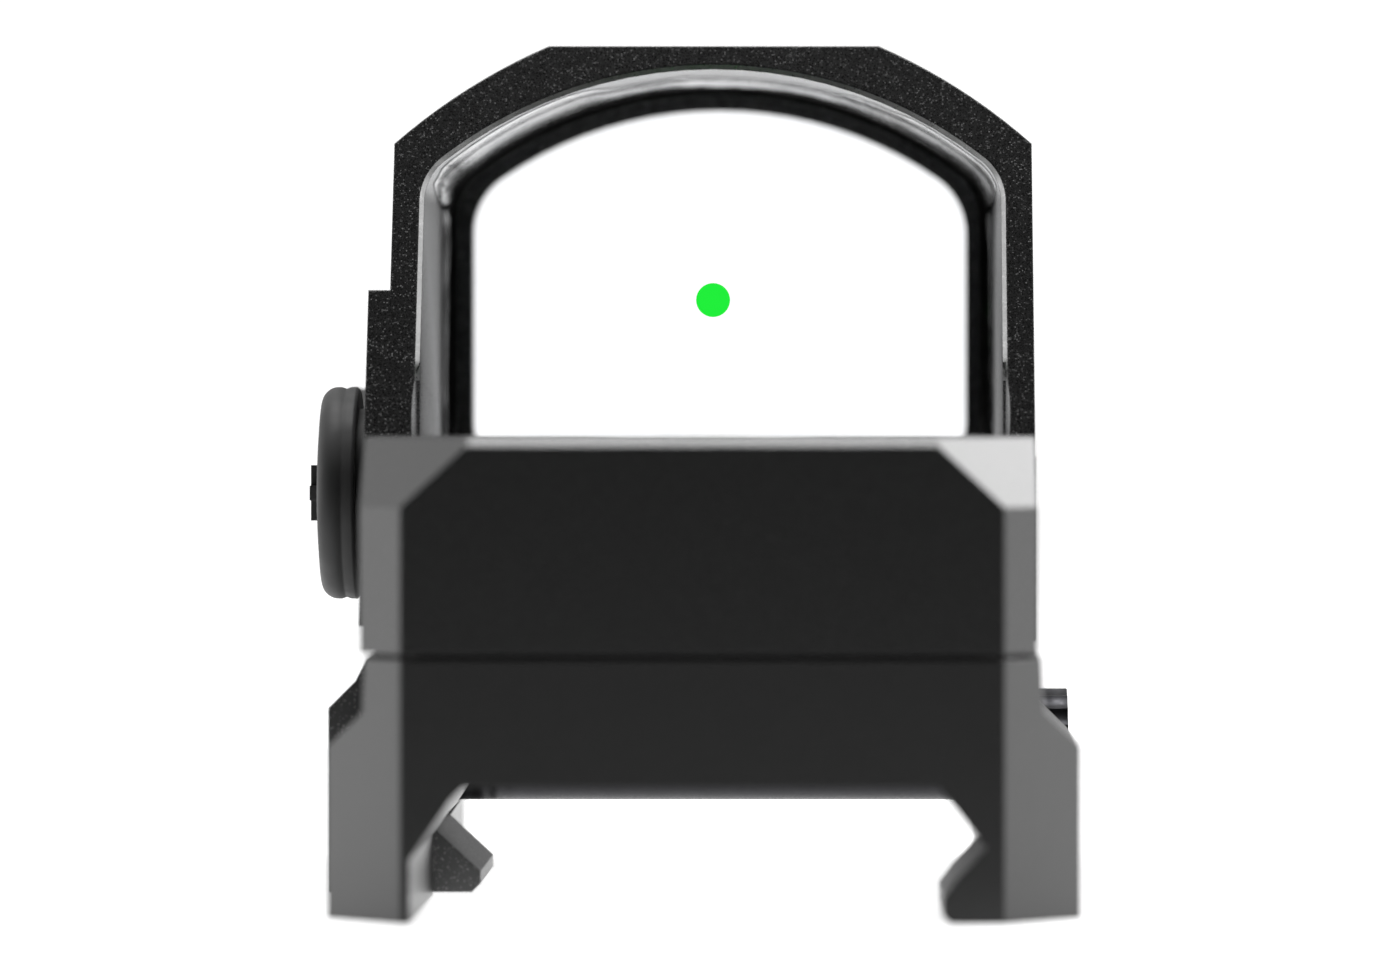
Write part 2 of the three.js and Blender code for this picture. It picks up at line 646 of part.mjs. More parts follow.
// Flat cable from the board, down its notch and along the channel to the emitter.
function flexCable() {
  const thick = 0.15;
  const [end, rise, drop] = [19.4, 17.15, CAVITY_FRONT - 0.3];
  const [low, tip, high] = [5.75, 8.9, 9.4];
  return sweepX(polygon([
    [end, high], [rise, high], [rise, low], [drop, low], [drop, tip], [drop + thick, tip],
    [drop + thick, low + thick], [rise - thick, low + thick], [rise - thick, high + thick],
    [end, high + thick],
  ]), -1.2, 1.2);
}

// Thin gasket between the sight and its mount, set in from the edges.
function batterySeal() {
  const inset = 0.6;
  const half = REAR_FACE_HALF - inset;
  const wide = WAIST_HALF_WIDTH - inset;
  const rear = inset + (wide - half) * REAR_CHAMFER_RUN;
  const front = LENGTH - inset;
  const sheet = sweepZ(polygon([
    [-half, inset], [half, inset], [wide, rear], [wide, front - FRONT_CHAMFER],
    [wide - FRONT_CHAMFER, front], [FRONT_CHAMFER - wide, front],
    [-wide, front - FRONT_CHAMFER], [-wide, rear],
  ]), DECK_THICKNESS, BODY_BOTTOM);
  const span = [DECK_THICKNESS - CLEAR, BODY_BOTTOM + CLEAR];
  return cut(sheet, bothSides((side) => rodZ(SCREW_RADIUS + 0.2, side * SCREW_SIDE, SCREW_DEPTH, span)));
}

// ---------- mount ----------

// Cross section of the rail mount in (x, z): plain leg on the left, fixed hook on the right.
function mountOutline() {
  const hookNose = JAW_NOSE - 0.1;
  return polygon([
    [-WAIST_HALF_WIDTH + 0.1, DECK_THICKNESS],
    [-WAIST_HALF_WIDTH, SHOULDER_HIGH],
    [-CLAMP_HALF_WIDTH, SHOULDER_LOW],
    [-CLAMP_HALF_WIDTH, -JAW_DROP],
    [-LEG_INNER, -JAW_DROP],
    [-LEG_INNER, -2.8],
    [-9.7, -0.5],
    [-9.2, 0],
    [9.1, 0],
    [9.42, -0.4],
    [RAIL_HALF_WIDTH + 0.35, -2.33],
    [9.8, -3.56],
    [hookNose, -4.3],
    [hookNose, -JAW_DROP + 0.3],
    [hookNose + 0.3, -JAW_DROP],
    [CLAMP_HALF_WIDTH, -JAW_DROP],
    [CLAMP_HALF_WIDTH, SHOULDER_LOW],
    [WAIST_HALF_WIDTH, SHOULDER_HIGH],
    [WAIST_HALF_WIDTH - 0.1, DECK_THICKNESS],
  ]);
}

// In front of the fixed hook the right leg has the same plain inner side as the left one.
function hookRelief() {
  const below = -JAW_DROP - CLEAR;
  const inner = JAW_NOSE - CLEAR;
  const outline = [[inner, below], [LEG_INNER, below], [LEG_INNER, -2.8], [9.7, -0.5], [inner, -0.5]];
  return sweepY(polygon(outline), HOOK_LENGTH, LENGTH + CLEAR);
}

function jawPockets() {
  const along = [JAW_START - RUNNING_GAP, JAW_START + JAW_LENGTH + RUNNING_GAP];
  const outside = -CLAMP_HALF_WIDTH - CLEAR;
  const below = -JAW_DROP - CLEAR;
  return [
    box([outside, RUNNING_GAP - JAW_INNER], along, [below, DECK_THICKNESS + CLEAR]),
    box([outside, -JAW_NOSE + 0.35], along, [below, -1.9]),
  ];
}

// The bolt's bore, the groove that bares it under the deck, and the recess for its head.
function boltCuts() {
  const bore = BOLT_RADIUS + RUNNING_GAP;
  const side = CLAMP_HALF_WIDTH + CLEAR;
  const head = BOLT_HEAD_INNER - 0.05;
  const groove = [BOLT_DEPTH - bore, BOLT_DEPTH + bore];
  return [
    rodX(bore, BOLT_DEPTH, BOLT_HEIGHT, [-side, side], ROUND),
    box([-RAIL_HALF_WIDTH, RAIL_HALF_WIDTH], groove, [-BOLT_RADIUS, BOLT_HEIGHT]),
    rodX(BOLT_HEAD_RADIUS + 0.25, BOLT_DEPTH, BOLT_HEIGHT, [head, side], ROUND),
  ];
}

function railMount() {
  const outside = -CLAMP_HALF_WIDTH;
  const pinSpan = [outside, PIN_SPAN[1] + RUNNING_GAP];
  const screwSpan = [SCREW_END - 0.3, DECK_THICKNESS + CLEAR];
  const pinDepths = Object.values(PIN_DEPTH);
  return cut(sweepY(mountOutline(), 0, LENGTH), [
    hookRelief(),
    ...jawPockets(),
    ...endChamfers(),
    ...boltCuts(),
    ...pinDepths.map((depth) => rodX(PIN_RADIUS + 0.01, depth, PIN_HEIGHT, pinSpan)),
    rodX(SPRING_BORE_RADIUS, PIN_DEPTH.front, PIN_HEIGHT, [outside, -SPRING_BORE_END]),
    ...bothSides((side) => rodZ(SCREW_RADIUS + 0.02, side * SCREW_SIDE, SCREW_DEPTH, screwSpan)),
  ]);
}

// Sliding jaw on the left: outer plate with a sloped shoulder, and a hook that points inwards.
function clampJaw() {
  const bottom = -JAW_DROP + 0.1;
  const outline = polygon([
    [-12.1, 4.35],
    [-14, 4.35],
    [-14.45, 3.45],
    [-JAW_OUTER, 2.35],
    [-JAW_OUTER, bottom],
    [-JAW_NOSE - 0.35, bottom],
    [-JAW_NOSE, bottom + 0.35],
    [-JAW_NOSE, -4.3],
    [-11.3, -2.5],
    [-JAW_INNER, -2],
    [-JAW_INNER, 4.05],
  ]);
  const pinBore = [PIN_SPAN[0] - 0.2, -JAW_NOSE];
  return cut(sweepY(outline, JAW_START, JAW_START + JAW_LENGTH), [
    rodX(BOLT_RADIUS + RUNNING_GAP, BOLT_DEPTH, BOLT_HEIGHT, [-JAW_OUTER - CLEAR, -JAW_NOSE], ROUND),
    ...Object.values(PIN_DEPTH).map((depth) => rodX(PIN_RADIUS + RUNNING_GAP, depth, PIN_HEIGHT, pinBore)),
  ]);
}

// Clamp bolt: plain shank across the rail slot, grooved head with a hexagonal socket.
function clampBolt() {
  const shank = rodX(BOLT_RADIUS, BOLT_DEPTH, BOLT_HEIGHT, [-JAW_OUTER + 0.3, BOLT_HEAD_INNER + 0.1], ROUND);
  const rim = serrated(BOLT_HEAD_RADIUS, 0.15, 20, BOLT_DEPTH, BOLT_HEIGHT);
  const head = sweepX(rim, BOLT_HEAD_INNER, BOLT_HEAD_OUTER);
  const socket = rodX(1.45, BOLT_DEPTH, BOLT_HEIGHT, [BOLT_HEAD_OUTER - 1.3, BOLT_HEAD_OUTER + CLEAR], 6);
  return shank.add(head).subtract(socket);
}

function jawGuides() {
  for (const [name, depth] of Object.entries(PIN_DEPTH)) {
    place(`guide_pin_${name}`, rodX(PIN_RADIUS, depth, PIN_HEIGHT, PIN_SPAN), BRIGHT_STEEL);
  }
  const spring = pointLeft(coil(1.12, 0.3, 2.3, 5));
  spring.translate(-SPRING_BORE_END - 0.2, REAR + PIN_DEPTH.front, PIN_HEIGHT);
  place('jaw_spring', spring, BRIGHT_STEEL);
}

// Mount screw: pan head with a hexagonal socket, shank down into the rail mount.
function mountScrew(side) {
  const x = side * SCREW_SIDE;
  const top = SCREW_SEAT + SCREW_HEAD_HEIGHT;
  const head = turned([
    [0, SCREW_SEAT],
    [SCREW_HEAD_RADIUS, SCREW_SEAT],
    [SCREW_HEAD_RADIUS, top - 0.5],
    [SCREW_HEAD_RADIUS - 0.4, top],
    [0, top],
  ], ROUND).translate(x, REAR + SCREW_DEPTH, 0);
  const shank = rodZ(SCREW_RADIUS, x, SCREW_DEPTH, [SCREW_END, SCREW_SEAT + 0.2]);
  const socket = rodZ(1.15, x, SCREW_DEPTH, [top - 1.1, top + CLEAR], 6);
  return solid(head).add(shank).subtract(socket);
}

// ---------- assembly ----------

place('housing', housing(), ANODISED);
place('objective_lens', lens(), GLASS);
place('lens_adhesive', adhesiveBead(), ADHESIVE);
place('emitter_window', emitterWindow(), GLASS);
adjusters();
place('elevation_seal', elevationSeal(), RUBBER);
place('elevation_slide', elevationSlide(), BRASS);
place('windage_sled', windageSled(), BRASS);
emitter();
carriageSprings();
buttons();
switches();
place('battery', battery(), BRIGHT_STEEL);
electronics();
place('battery_contact_top', batteryContactTop(), BRASS);
place('battery_contact_side', batteryContactSide(), BRASS);
place('flex_cable', flexCable(), POLYIMIDE);
place('battery_seal', batterySeal(), RUBBER);
place('rail_mount', railMount(), ANODISED);
place('clamp_jaw', clampJaw(), ANODISED);
place('clamp_bolt', clampBolt(), BLACK_STEEL);
jawGuides();
place('mount_screw_left', mountScrew(-1), BLACK_STEEL);
place('mount_screw_right', mountScrew(1), BLACK_STEEL);

export default sight;
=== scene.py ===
"""Looks for an open reflex dot finder on a rail clamp: materials, small added detail, light and camera.

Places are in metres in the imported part's frame: +X right, +Y towards the target, +Z up.
Names that end in _MM, and lengths inside the materials, are in millimetres.
"""

import math
import random

import bmesh
import bpy
from mathutils import Matrix, Vector


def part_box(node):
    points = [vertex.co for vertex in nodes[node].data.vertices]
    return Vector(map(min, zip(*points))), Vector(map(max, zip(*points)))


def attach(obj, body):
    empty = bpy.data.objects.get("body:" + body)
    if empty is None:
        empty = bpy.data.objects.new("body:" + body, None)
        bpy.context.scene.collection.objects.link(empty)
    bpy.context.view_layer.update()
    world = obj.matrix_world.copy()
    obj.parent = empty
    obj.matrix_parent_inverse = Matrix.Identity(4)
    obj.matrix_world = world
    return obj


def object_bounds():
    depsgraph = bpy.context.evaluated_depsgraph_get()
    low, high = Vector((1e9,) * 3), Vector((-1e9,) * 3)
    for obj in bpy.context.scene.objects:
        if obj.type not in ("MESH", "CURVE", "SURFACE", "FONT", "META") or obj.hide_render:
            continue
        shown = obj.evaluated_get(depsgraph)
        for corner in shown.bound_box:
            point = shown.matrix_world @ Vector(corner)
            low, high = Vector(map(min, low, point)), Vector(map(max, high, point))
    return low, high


MM = 0.001
WHITE = (1.0, 1.0, 1.0, 1.0)
REARWARD = Vector((0, -1, 0))

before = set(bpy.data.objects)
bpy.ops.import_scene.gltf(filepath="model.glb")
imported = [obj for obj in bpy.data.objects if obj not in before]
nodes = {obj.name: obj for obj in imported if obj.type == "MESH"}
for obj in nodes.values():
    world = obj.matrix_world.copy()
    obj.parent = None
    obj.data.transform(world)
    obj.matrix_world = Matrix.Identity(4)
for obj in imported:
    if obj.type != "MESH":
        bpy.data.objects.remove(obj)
cad_low, cad_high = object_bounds()

# The rear block ends where the heads of the mount screws begin.
BLOCK_FRONT_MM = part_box("mount_screw_left")[0].y / MM

# The window's inner wall, as parts of half its width.
ARCH_RADIUS = 1.5
CORNER_RADIUS = 0.18

# The dot hangs behind the lens, where the camera is focused.
DOT_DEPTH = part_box("objective_lens")[0].y - 17.5 * MM
DOT_RADIUS = 0.706 * MM
DOT_ACROSS = 0.03 * MM
DOT_HEIGHT = 19.05 * MM
DOT_THINNESS = 0.04

# Across the smear, from its rear edge to the lens: part of its width, thickness in millimetres.
SMEAR_PROFILE = ((0.0, 0.0), (0.03, 0.015), (0.3, 0.03), (0.5, 0.1), (0.85, 0.3), (1.0, 0.34))

CAMERA_BEHIND = 300 * MM
CAMERA_RIGHT = 5.3 * MM
CAMERA_HEIGHT = 14.9 * MM
LENS_PER_FRAME_WIDTH = 39 / 7
FRAME_SHIFT = (-0.1, -9 / 140)


# ---------- shader helpers ----------


class NodeTree:
    """Short calls that add nodes to a material or world and join them up."""

    def __init__(self, tree):
        self.tree = tree

    def add(self, kind, **properties):
        node = self.tree.nodes.new(kind)
        for key, value in properties.items():
            setattr(node, key, value)
        return node

    def link(self, source, target):
        self.tree.links.new(source, target)

    def put(self, socket, value):
        """Feed a socket from another node, or set it to a plain value."""
        if isinstance(value, bpy.types.NodeSocket):
            self.link(value, socket)
        else:
            socket.default_value = value

    def vector(self, operation, first, second=None, scale=None):
        node = self.add("ShaderNodeVectorMath", operation=operation)
        self.put(node.inputs[0], first)
        if second is not None:
            self.put(node.inputs[1], second)
        if scale is not None:
            node.inputs["Scale"].default_value = scale
        return node.outputs["Vector"]

    def math(self, operation, first, second):
        node = self.add("ShaderNodeMath", operation=operation)
        self.put(node.inputs[0], first)
        self.put(node.inputs[1], second)
        return node.outputs[0]

    def times(self, first, second):
        return self.math("MULTIPLY", first, second)

    def ramp(self, value, low, high, out_low=0.0, out_high=1.0):
        """Straight line from (low, out_low) to (high, out_high), level beyond both ends."""
        node = self.add("ShaderNodeMapRange")
        self.link(value, node.inputs["Value"])
        node.inputs["From Min"].default_value = low
        node.inputs["From Max"].default_value = high
        node.inputs["To Min"].default_value = out_low
        node.inputs["To Max"].default_value = out_high
        return node.outputs["Result"]

    def mix(self, factor, first, second):
        node = self.add("ShaderNodeMix", data_type="RGBA")
        self.put(node.inputs["Factor"], factor)
        self.put(node.inputs["A"], first)
        self.put(node.inputs["B"], second)
        return node.outputs["Result"]

    def seen_or_lit(self, seen, lit):
        """One strength for what the camera sees, another for the light that falls on things."""
        node = self.add("ShaderNodeMix")
        self.link(self.add("ShaderNodeLightPath").outputs["Is Camera Ray"], node.inputs["Factor"])
        self.put(node.inputs["A"], lit)
        node.inputs["B"].default_value = seen
        return node.outputs["Result"]

    def axis(self, place, name):
        """One coordinate of a place."""
        split = self.add("ShaderNodeSeparateXYZ")
        self.link(place, split.inputs[0])
        return split.outputs[name]


class Shader(NodeTree):
    """A node material that works in the object's own coordinates, in millimetres."""

    def __init__(self, name):
        self.material = bpy.data.materials.new(name)
        self.material.use_nodes = True
        super().__init__(self.material.node_tree)
        self.principled = self.tree.nodes["Principled BSDF"]
        coordinates = self.add("ShaderNodeTexCoord").outputs["Object"]
        self.place = self.vector("SCALE", coordinates, scale=1 / MM)

    def set(self, name, value):
        self.put(self.principled.inputs[name], value)

    def noise(self, per_mm, detail=3.0, stretch=(1, 1, 1), warp=0.0):
        node = self.add("ShaderNodeTexNoise")
        self.link(self.vector("MULTIPLY", self.place, stretch), node.inputs["Vector"])
        node.inputs["Scale"].default_value = per_mm
        node.inputs["Detail"].default_value = detail
        node.inputs["Distortion"].default_value = warp
        return node.outputs["Fac"]

    def grains(self, per_mm):
        """A random value for each small cell, as (value, distance from the cell's middle)."""
        node = self.add("ShaderNodeTexVoronoi")
        self.link(self.place, node.inputs["Vector"])
        node.inputs["Scale"].default_value = per_mm
        split = self.add("ShaderNodeSeparateColor")
        self.link(node.outputs["Color"], split.inputs[0])
        return split.outputs["Red"], node.outputs["Distance"]

    def specks(self, per_mm, value_range, distance_range):
        """Round specks in the cells with the highest values."""
        value, distance = self.grains(per_mm)
        return self.times(self.ramp(value, *value_range), self.ramp(distance, *distance_range))

    def thread(self, pitch_mm):
        """Height of a thread of this pitch, running along X."""
        return self.math("SINE", self.times(self.axis(self.place, "X"), 2 * math.pi / pitch_mm), 0.0)

    def varied(self, value, low, high):
        """A noise value spread between two levels."""
        return self.ramp(value, 0.3, 0.7, low, high)

    def bump(self, height, depth_mm, strength, normal=None):
        node = self.add("ShaderNodeBump")
        node.inputs["Strength"].default_value = strength
        node.inputs["Distance"].default_value = depth_mm * MM
        self.put(node.inputs["Height"], height)
        if normal is not None:
            self.link(normal, node.inputs["Normal"])
        return node.outputs["Normal"]

    def rounded(self, radius_mm):
        """Normals that round every sharp edge off, and how much each point was turned by it."""
        bevel = self.add("ShaderNodeBevel", samples=4)
        bevel.inputs["Radius"].default_value = radius_mm * MM
        geometry = self.add("ShaderNodeNewGeometry")
        turned = self.add("ShaderNodeVectorMath", operation="DOT_PRODUCT")
        self.link(bevel.outputs["Normal"], turned.inputs[0])
        self.link(geometry.outputs["Normal"], turned.inputs[1])
        edge = self.ramp(turned.outputs["Value"], 0.995, 0.8)
        return bevel.outputs["Normal"], edge


def grey(level):
    return (level, level, level, 1.0)


def shade(color, factor):
    """A colour made lighter or darker, with full opacity."""
    return tuple(min(1.0, part * factor) for part in color) + (1.0,)


# ---------- materials ----------


def anodised(name, level, roughness, glint_strength=1.0):
    """Dyed aluminium: fine pits, sharp edges painted paler as a painted edge highlight, and raised grains
    with painted glints, sparse on the rear block.
    """
    edge_radius = 0.12
    block_share = 0.15
    block_fade = 4
    s = Shader(name)
    normal, edge = s.rounded(edge_radius)
    cloud = s.noise(0.35, detail=4)
    pits = s.noise(16, detail=2)
    # Painted glints: small grains lightened in the base colour, and raised a little in the bump.
    glint_grains = s.specks(15, (0.8, 1.0), (0.6, 0.25))
    depth = s.axis(s.place, "Y")
    glint_grains = s.times(glint_grains, s.ramp(depth, BLOCK_FRONT_MM - block_fade, BLOCK_FRONT_MM, block_share, 1.0))
    base = s.mix(cloud, grey(level * 0.75), grey(level * 1.3))
    # The painted glints go into the base colour here.
    base = s.mix(s.times(glint_grains, 0.6 * glint_strength), base, grey(0.6))
    # Sharp edges painted paler: a painted edge highlight.
    base = s.mix(s.times(edge, 0.25), base, grey(level * 4))
    s.set("Base Color", base)
    s.set("Roughness", s.varied(pits, roughness - 0.08, roughness + 0.08))
    s.set("IOR", 1.75)
    height = s.math("ADD", pits, s.times(glint_grains, 0.6))
    s.set("Normal", s.bump(height, 0.02, 0.12, normal))
    return s.material


def rubber(name, level):
    """Moulded rubber: soft sheen, faint mottling, and pale specks of dust."""
    s = Shader(name)
    normal, _ = s.rounded(0.12)
    cloud = s.noise(0.9, detail=5)
    dust = s.specks(3.2, (0.93, 0.96), (0.16, 0.05))
    base = s.mix(cloud, grey(level * 0.8), grey(level * 1.3))
    s.set("Base Color", s.mix(s.times(dust, 0.6), base, grey(0.45)))
    s.set("Roughness", s.varied(cloud, 0.55, 0.72))
    s.set("Sheen Weight", 0.03)
    s.set("Normal", s.bump(s.noise(22, detail=2), 0.008, 0.5, normal))
    return s.material


def metal(name, color, roughness, grain=(1, 1, 1), pitch=None):
    """Turned or drawn metal with fine tool marks along the grain, and a thread round X if it has a pitch."""
    s = Shader(name)
    normal, edge = s.rounded(0.06)
    marks = s.noise(11, detail=3, stretch=grain)
    cloud = s.noise(0.8, detail=3)
    light = shade(color, 1.2)
    base = s.mix(cloud, shade(color, 0.8), light)
    # Sharp edges painted lighter: a painted edge highlight.
    s.set("Base Color", s.mix(s.times(edge, 0.3), base, light))
    s.set("Metallic", 1.0)
    s.set("Roughness", s.varied(marks, roughness - 0.06, roughness + 0.1))
    if pitch:
        normal = s.bump(s.thread(pitch), 0.012, 0.8, normal)
    s.set("Normal", s.bump(marks, 0.006, 0.4, normal))
    return s.material


def laminate(name, color):
    """Circuit board, moulded chip or film: faint weave below a satin surface."""
    s = Shader(name)
    weave = s.noise(6, detail=2, stretch=(1, 0.3, 1))
    s.set("Base Color", s.mix(weave, shade(color, 0.75), shade(color, 1.25)))
    s.set("Roughness", s.varied(weave, 0.35, 0.5))
    s.set("Normal", s.bump(weave, 0.004, 0.4))
    return s.material


def clear_glass(name, tint):
    """Thin coated glass: clear straight through, with a faint mirror sheen towards the edges."""
    s = Shader(name)
    clear = s.add("ShaderNodeBsdfTransparent")
    smear = s.noise(0.4, detail=4)
    s.put(clear.inputs["Color"], s.mix(s.varied(smear, 0.0, 1.0), WHITE, tint))
    gloss = s.add("ShaderNodeBsdfGlossy")
    s.put(gloss.inputs["Roughness"], s.varied(smear, 0.02, 0.06))
    fresnel = s.add("ShaderNodeFresnel")
    fresnel.inputs["IOR"].default_value = 1.3
    blend = s.add("ShaderNodeMixShader")
    s.link(s.times(fresnel.outputs[0], 0.5), blend.inputs[0])
    s.link(clear.outputs[0], blend.inputs[1])
    s.link(gloss.outputs[0], blend.inputs[2])
    s.link(blend.outputs[0], s.tree.nodes["Material Output"].inputs["Surface"])
    return s.material


def gloss_black(name):
    """Cured black adhesive: smooth and uneven, with wavy highlights."""
    s = Shader(name)
    flow = s.noise(0.5, detail=3, stretch=(0.6, 3, 0.6), warp=1.0)
    s.set("Base Color", s.mix(flow, grey(0.003), grey(0.01)))
    s.set("Roughness", s.varied(flow, 0.04, 0.14))
    s.set("Normal", s.bump(flow, 0.012, 0.5))
    return s.material


def glow(name, color, strength):
    """Light from the emitter, very slightly uneven."""
    s = Shader(name)
    cloud = s.noise(2.0, detail=2)
    s.set("Base Color", grey(0.0))
    s.set("Roughness", s.varied(cloud, 0.5, 0.6))
    s.set("Specular IOR Level", 0.0)
    s.set("Emission Color", s.mix(cloud, shade(color, 1.0), shade(color, 0.97)))
    s.set("Emission Strength", strength)
    return s.material


def paint_nodes():
    """Give every CAD node its material."""
    brass = (0.62, 0.43, 0.17)
    bright_steel = (0.55, 0.56, 0.58)
    black_steel = (0.035, 0.035, 0.038)
    nickel = (0.62, 0.62, 0.6)
    solder_mask = (0.02, 0.1, 0.05)
    resin = (0.02, 0.02, 0.022)
    film = (0.45, 0.2, 0.05)
    green = (0.03, 0.85, 0.06)
    bolt_pitch = 0.7
    looks = {
        anodised("anodised_housing", 0.004, 0.3): ["housing"],
        # The mount gets fewer painted glints.
        anodised("anodised_mount", 0.013, 0.34, glint_strength=0.25): ["rail_mount"],
        anodised("anodised_jaw", 0.02, 0.4): ["clamp_jaw"],
        clear_glass("lens_glass", (0.985, 0.99, 1.0, 1.0)): ["objective_lens"],
        clear_glass("window_glass", (0.9, 0.93, 0.97, 1.0)): ["emitter_window"],
        gloss_black("adhesive"): ["lens_adhesive"],
        metal("black_steel", black_steel, 0.32): [
            "elevation_screw", "windage_screw", "mount_screw_left", "mount_screw_right",
        ],
        metal("bolt_steel", black_steel, 0.36, pitch=bolt_pitch): ["clamp_bolt"],
        metal("carriage_brass", brass, 0.3): [
            "elevation_slide", "windage_sled", "battery_contact_top", "battery_contact_side",
        ],
        metal("spring_steel", bright_steel, 0.25): [
            "windage_spring", "elevation_spring", "jaw_spring", "switch_dome_up", "switch_dome_down",
        ],
        metal("cell_steel", nickel, 0.28, grain=(0.2, 3, 1)): ["battery"],
        metal("pin_steel", bright_steel, 0.2): ["guide_pin_rear", "guide_pin_front"],
        laminate("circuit_board", solder_mask): [
            "led_board", "main_board", "switch_base_up", "switch_base_down",
        ],
        laminate("chip_resin", resin): ["control_chip", "motion_sensor"],
        laminate("polyimide", film): ["flex_cable"],
        glow("emitter_chip", green, 3.0): ["led_chip"],
        rubber("button_rubber", 0.03): ["button_up", "button_down"],
        rubber("seal_rubber", 0.012): ["elevation_seal", "battery_seal"],
    }
    for material, names in looks.items():
        for name in names:
            mesh = nodes[name].data
            mesh.materials.clear()
            mesh.materials.append(material)


def smooth_nodes(sharp_deg=32):
    """Smooth shading on curved stretches, with edges above this angle kept sharp."""
    for node in nodes.values():
        node.data.shade_smooth()
        weld = node.modifiers.new("weld", "WELD")
        weld.merge_threshold = 1e-6
        split = node.modifiers.new("sharp edges", "EDGE_SPLIT")
        split.split_angle = math.radians(sharp_deg)


# ---------- added pieces ----------


def new_piece(name, shape, material):
    """Turn a finished bmesh into a smooth-shaded object with one material."""
    mesh = bpy.data.meshes.new(name)
    bmesh.ops.recalc_face_normals(shape, faces=shape.faces)
    shape.to_mesh(mesh)
    shape.free()
    mesh.shade_smooth()
    mesh.materials.append(material)
    piece = bpy.data.objects.new(name, mesh)
    bpy.context.scene.collection.objects.link(piece)
    return piece


def join_rows(shape, rows):
    """Faces between neighbouring rows of vertices, which all have the same length."""
    for first, second in zip(rows, rows[1:]):
        for i in range(len(first) - 1):
            shape.faces.new((first[i], second[i], second[i + 1], first[i + 1]))


def dot():
    """The aiming point, a virtual image inside the window: a painted reflection, a thin glowing domed disc
    where the lens reflects the emitter's light, that rides with the emitter.
    """
    shape = bmesh.new()
    bmesh.ops.create_uvsphere(shape, u_segments=48, v_segments=16, radius=DOT_RADIUS)
    flatten = Matrix.Diagonal((1.0, DOT_THINNESS, 1.0, 1.0))
    shape.transform(Matrix.Translation((DOT_ACROSS, DOT_DEPTH, DOT_HEIGHT)) @ flatten)
    piece = new_piece("aiming_dot", shape, glow("aiming_dot", (0.016, 0.87, 0.045), 1.0))
    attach(piece, "emitter_sled")


def window_path(steps=24):
    """The hood's inner wall from left foot over the arch to right foot, as (point, inward direction)."""
    low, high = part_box("lens_adhesive")
    half = high.x
    arch = ARCH_RADIUS * half
    corner = CORNER_RADIUS * half
    arch_z = high.z - arch
    side_x = half - corner
    side_z = arch_z + math.sqrt((arch - corner) ** 2 - side_x**2)
    lean = math.atan2(side_x, side_z - arch_z)
    side_height = side_z - low.z
    path = []
    for i in range(steps):
        path.append((Vector((-half, 0, low.z + side_height * i / steps)), Vector((1, 0, 0))))
    arcs = (
        (Vector((-side_x, 0, side_z)), corner, -math.pi / 2, -lean, steps),
        (Vector((0, 0, arch_z)), arch, -lean, lean, 4 * steps),
        (Vector((side_x, 0, side_z)), corner, lean, math.pi / 2, steps),
    )
    for centre, radius, start, end, count in arcs:
        for i in range(count):
            angle = start + (end - start) * i / count
            outward = Vector((math.sin(angle), 0, math.cos(angle)))
            path.append((centre + outward * radius, -outward))
    for i in range(steps + 1):
        path.append((Vector((half, 0, side_z - side_height * i / steps)), Vector((-1, 0, 0))))
    return path


def wander(count, spacing, low, high):
    """A smooth random walk between two values, one for each of count places, with a knot every few."""
    knots = [random.uniform(low, high) for _ in range(count // spacing + 3)]
    values = []
    for i in range(count):
        index, part = divmod(i / spacing, 1)
        ease = part * part * (3 - 2 * part)
        first, second = knots[int(index)], knots[int(index) + 1]
        values.append(first + (second - first) * ease)
    return values


def smear_cover(overhead):
    """How much of the wall's depth the smear covers: little at the sides, most of it in the corners.

    The argument is 0 where the wall stands upright and 1 at the crown of the arch.
    """
    side_cover = 0.1
    corner_cover = 0.85
    crown_loss = 0.5
    corner_full_at = 0.35
    crown_from = 0.93
    corner = min(1.0, overhead / corner_full_at)
    crown = max(0.0, (overhead - crown_from) / (1 - crown_from))
    return side_cover + corner_cover * corner - crown_loss * crown


def adhesive_smear():
    """Adhesive spread along the hood's inner wall behind the lens: thin at the rear, a wedge at the lens."""
    lift = 0.01
    least_cover, most_cover = 0.03, 0.96
    path = window_path()
    low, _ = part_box("lens_adhesive")
    crown, crown_inward = path[len(path) // 2]
    wall_depth = low.y - rear_face(crown, -crown_inward, 0.2).y
    broad = wander(len(path), 9, -0.25, 0.25)
    fine = wander(len(path), 3, -0.05, 0.05)
    ripples = wander(len(path), 14, 0.85, 1.15)
    shape = bmesh.new()
    rows = []
    for (point, inward), wide, narrow, ripple in zip(path, broad, fine, ripples):
        overhead = abs(inward.z)
        cover = smear_cover(overhead) + wide * (0.1 + 0.9 * overhead) + narrow
        reach = wall_depth * min(most_cover, max(least_cover, cover))
        row = []
        for part, thickness in SMEAR_PROFILE:
            offset = inward * (lift + thickness * ripple) * MM
            depth = low.y - reach * (1 - part)
            row.append(shape.verts.new(Vector((point.x, depth, point.z)) + offset))
        rows.append(row)
    join_rows(shape, rows)
    piece = new_piece("adhesive_smear", shape, gloss_black("smeared_adhesive"))
    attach(piece, "sight")


def rear_face(point, outward, out_mm):
    """Where the housing is met, looking ahead from behind, this far outside the window's wall."""
    housing = nodes["housing"]
    start = Vector((point.x, cad_low.y - MM, point.z)) + outward * out_mm * MM
    hit, place, _, _ = housing.ray_cast(housing.matrix_world.inverted() @ start, -REARWARD)
    return housing.matrix_world @ place if hit else None


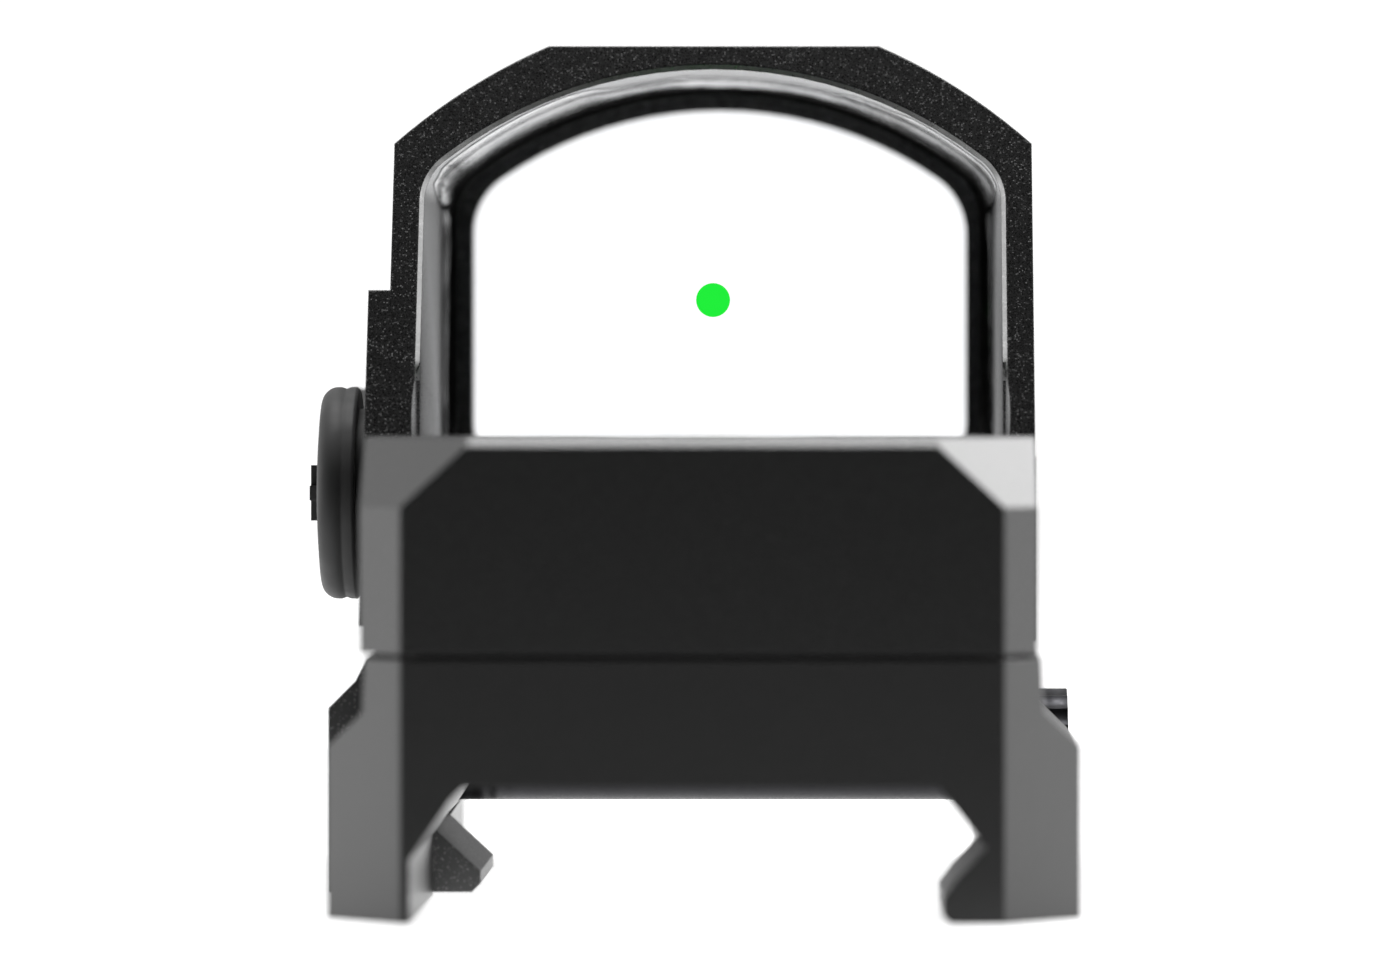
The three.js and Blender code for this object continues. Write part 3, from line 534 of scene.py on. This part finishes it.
def bright_rim():
    """Bare, polished metal on the narrow chamfer round the window's rear rim."""
    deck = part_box("elevation_seal")[1].z + 0.6 * MM
    chamfer_outer, chamfer_inner = 0.2, 0.02
    steepest = 0.5 * MM
    shape = bmesh.new()
    rows = []
    for point, inward in window_path():
        if point.z < deck:
            continue
        wall = point - inward * 0.03 * MM
        outer = rear_face(wall, -inward, chamfer_outer)
        inner = rear_face(wall, -inward, chamfer_inner)
        if outer is None or inner is None or abs(outer.y - inner.y) > steepest:
            continue
        lift = (inward + REARWARD) * 0.012 * MM
        rows.append([shape.verts.new(outer + lift), shape.verts.new(inner + lift)])
    join_rows(shape, rows)
    piece = new_piece("window_rim", shape, metal("polished_rim", (0.55, 0.55, 0.55), 0.3))
    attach(piece, "sight")


# ---------- floor, light, camera ----------


def floor():
    """White sweep that glows, so that it meets the white background without a line.

    What it throws on the sight falls off behind the rear face, so that face stays dark.
    """
    half_size = 3.0
    fade_mm = 12
    dim, bright = 0.01, 1.3
    seen_white = 0.99
    mesh = bpy.data.meshes.new("floor")
    corners = [(x * half_size, y * half_size, cad_low.z) for x, y in ((-1, -1), (1, -1), (1, 1), (-1, 1))]
    mesh.from_pydata(corners, [], [(0, 1, 2, 3)])
    s = Shader("floor")
    s.set("Base Color", s.mix(s.noise(0.02), grey(0.28), grey(0.32)))
    s.set("Roughness", 0.9)
    s.set("Specular IOR Level", 0.0)
    s.set("Emission Color", WHITE)
    rear = cad_low.y / MM
    lit = s.ramp(s.axis(s.place, "Y"), rear - fade_mm, rear + fade_mm, dim, bright)
    s.set("Emission Strength", s.seen_or_lit(seen_white, lit))
    mesh.materials.append(s.material)
    plane = bpy.data.objects.new("floor", mesh)
    bpy.context.scene.collection.objects.link(plane)


def studio_world():
    """White all round for the camera, darker behind the camera for everything the surfaces reflect."""
    seen_white = 1.1
    world = bpy.data.worlds.new("studio")
    bpy.context.scene.world = world
    world.use_nodes = True
    sky = NodeTree(world.node_tree)
    background = sky.tree.nodes["Background"]
    background.inputs["Color"].default_value = WHITE
    direction = sky.add("ShaderNodeTexCoord").outputs["Generated"]
    forward = sky.axis(direction, "Y")
    in_front = sky.ramp(forward, -0.3, 0.0, 0.01, 1.9)
    dim_overhead = sky.ramp(sky.axis(direction, "Z"), 0.2, 0.65, 1.0, 0.5)
    dim_far_ahead = sky.ramp(forward, 0.5, 0.95, 1.0, 0.3)
    lit = sky.times(sky.times(in_front, dim_overhead), dim_far_ahead)
    sky.link(sky.seen_or_lit(seen_white, lit), background.inputs["Strength"])


def softbox(name, offset, size, power):
    """A soft lamp at an offset from the part's middle, aimed at it and unseen by the camera."""
    middle = (cad_low + cad_high) / 2
    light = bpy.data.lights.new(name, "AREA")
    light.shape = "RECTANGLE"
    light.size, light.size_y = size
    light.energy = power
    lamp = bpy.data.objects.new(name, light)
    lamp.location = middle + Vector(offset)
    lamp.visible_camera = False
    lamp.rotation_euler = (-Vector(offset)).to_track_quat("-Z", "Y").to_euler()
    bpy.context.scene.collection.objects.link(lamp)


def lights():
    softbox("right", offset=(0.24, 0.22, 0.26), size=(0.22, 0.22), power=0.8)
    softbox("top", offset=(0.0, 0.06, 0.45), size=(0.3, 0.14), power=1.9)


def focus_point():
    """A marker at the depth where the picture is sharpest: inside the window, level with the dot."""
    marker = bpy.data.objects.new("focus", None)
    marker.location = (0, DOT_DEPTH, 0.4 * cad_high.z)
    bpy.context.scene.collection.objects.link(marker)
    return marker


def camera():
    """A long lens level with the window, a little right of the middle, with the frame shifted to fit."""
    data = bpy.data.cameras.new("camera")
    data.sensor_width = 36
    data.lens = LENS_PER_FRAME_WIDTH * data.sensor_width
    data.shift_x, data.shift_y = FRAME_SHIFT
    data.clip_start = 0.01
    data.clip_end = 20
    data.dof.use_dof = True
    data.dof.focus_object = focus_point()
    data.dof.aperture_fstop = 32
    piece = bpy.data.objects.new("camera", data)
    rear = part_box("housing")[0].y
    piece.location = (CAMERA_RIGHT, rear - CAMERA_BEHIND, CAMERA_HEIGHT)
    piece.rotation_euler = (math.pi / 2, 0, 0)
    bpy.context.scene.collection.objects.link(piece)
    bpy.context.scene.camera = piece


random.seed(4)
paint_nodes()
smooth_nodes()
dot()
bpy.context.view_layer.update()
adhesive_smear()
bright_rim()
floor()
studio_world()
lights()
camera()
bpy.context.scene.view_settings.view_transform = "Standard"

bpy.context.view_layer.update()
